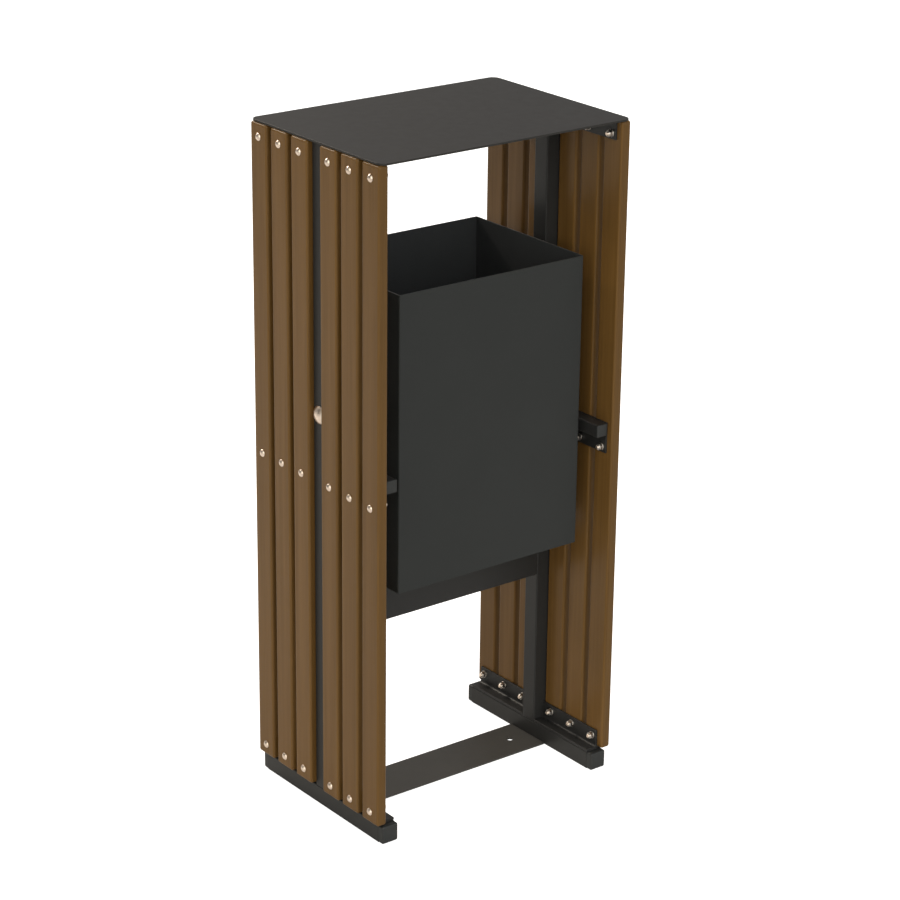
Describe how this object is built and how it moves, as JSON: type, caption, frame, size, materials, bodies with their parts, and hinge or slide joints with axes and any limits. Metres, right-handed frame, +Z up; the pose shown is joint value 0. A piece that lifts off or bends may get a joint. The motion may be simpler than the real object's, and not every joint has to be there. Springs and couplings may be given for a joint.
{
  "type": "litter bin",
  "caption": "Litter bin with slatted wooden sides on a square-tube frame, a flat roof and an open-topped bucket that tips on two side pivots to be emptied.",
  "frame": {"origin": "on the ground, under the middle of the bin", "axes": "+Z up; X runs across the bin from the left to the right slatted side, along the bucket's tipping axis; the open front faces -Y"},
  "size_m": [0.4688, 0.329, 1.0695],
  "materials": {
    "frame_paint": "satin anthracite powder coat on steel tube and strip",
    "roof_paint": "fine-textured anthracite powder coat on steel sheet",
    "bucket_paint": "fine-textured anthracite powder coat on galvanized steel sheet",
    "slat_wood": "satin brown stain and varnish on planed wood with rounded edges",
    "zinc": "bright zinc-plated fasteners",
    "cap_plastic": "black moulded end caps"
  },
  "bodies": {
    "frame": {"base_rail_left": "frame_paint", "base_rail_right": "frame_paint", "base_rail_caps_left": "cap_plastic", "base_rail_caps_right": "cap_plastic", "floor_strip": "frame_paint", "post_left": "frame_paint", "post_right": "frame_paint", "cross_bar": "frame_paint", "roof": "roof_paint", "base_strip_left_front": "frame_paint", "base_strip_left_back": "frame_paint", "base_strip_right_front": "frame_paint", "base_strip_right_back": "frame_paint", "mid_strip_left_front": "frame_paint", "mid_strip_left_back": "frame_paint", "mid_strip_right_front": "frame_paint", "mid_strip_right_back": "frame_paint", "top_strip_left_front": "frame_paint", "top_strip_left_back": "frame_paint", "top_strip_right_front": "frame_paint", "top_strip_right_back": "frame_paint", "mid_rail_left_front": "frame_paint", "mid_rail_left_back": "frame_paint", "mid_rail_right_front": "frame_paint", "mid_rail_right_back": "frame_paint", "mid_rail_caps_left": "cap_plastic", "mid_rail_caps_right": "cap_plastic", "left_slat_1": "slat_wood", "left_slat_2": "slat_wood", "left_slat_3": "slat_wood", "left_slat_4": "slat_wood", "left_slat_5": "slat_wood", "left_slat_6": "slat_wood", "right_slat_1": "slat_wood", "right_slat_2": "slat_wood", "right_slat_3": "slat_wood", "right_slat_4": "slat_wood", "right_slat_5": "slat_wood", "right_slat_6": "slat_wood", "slat_bolts_left": "zinc", "slat_bolts_right": "zinc", "slat_washers_left": "zinc", "slat_washers_right": "zinc", "slat_nuts_left": "zinc", "slat_nuts_right": "zinc", "pivot_bolt_left": "zinc", "pivot_bolt_right": "zinc", "pivot_sleeve_left": "zinc", "pivot_sleeve_right": "zinc", "pivot_washer_left": "zinc", "pivot_washer_right": "zinc", "pivot_nut_left": "zinc", "pivot_nut_right": "zinc"},
    "bucket": {"bucket_shell": "bucket_paint", "bucket_base": "bucket_paint", "bearing_plate_left": "bucket_paint", "bearing_plate_right": "bucket_paint"}
  },
  "joints": [
    {"name": "bucket_tilt", "type": "hinge", "parent": "frame", "child": "bucket", "pos_m": [0, 0, 0.65], "axis": [1, 0, 0], "continuous": true}
  ]
}
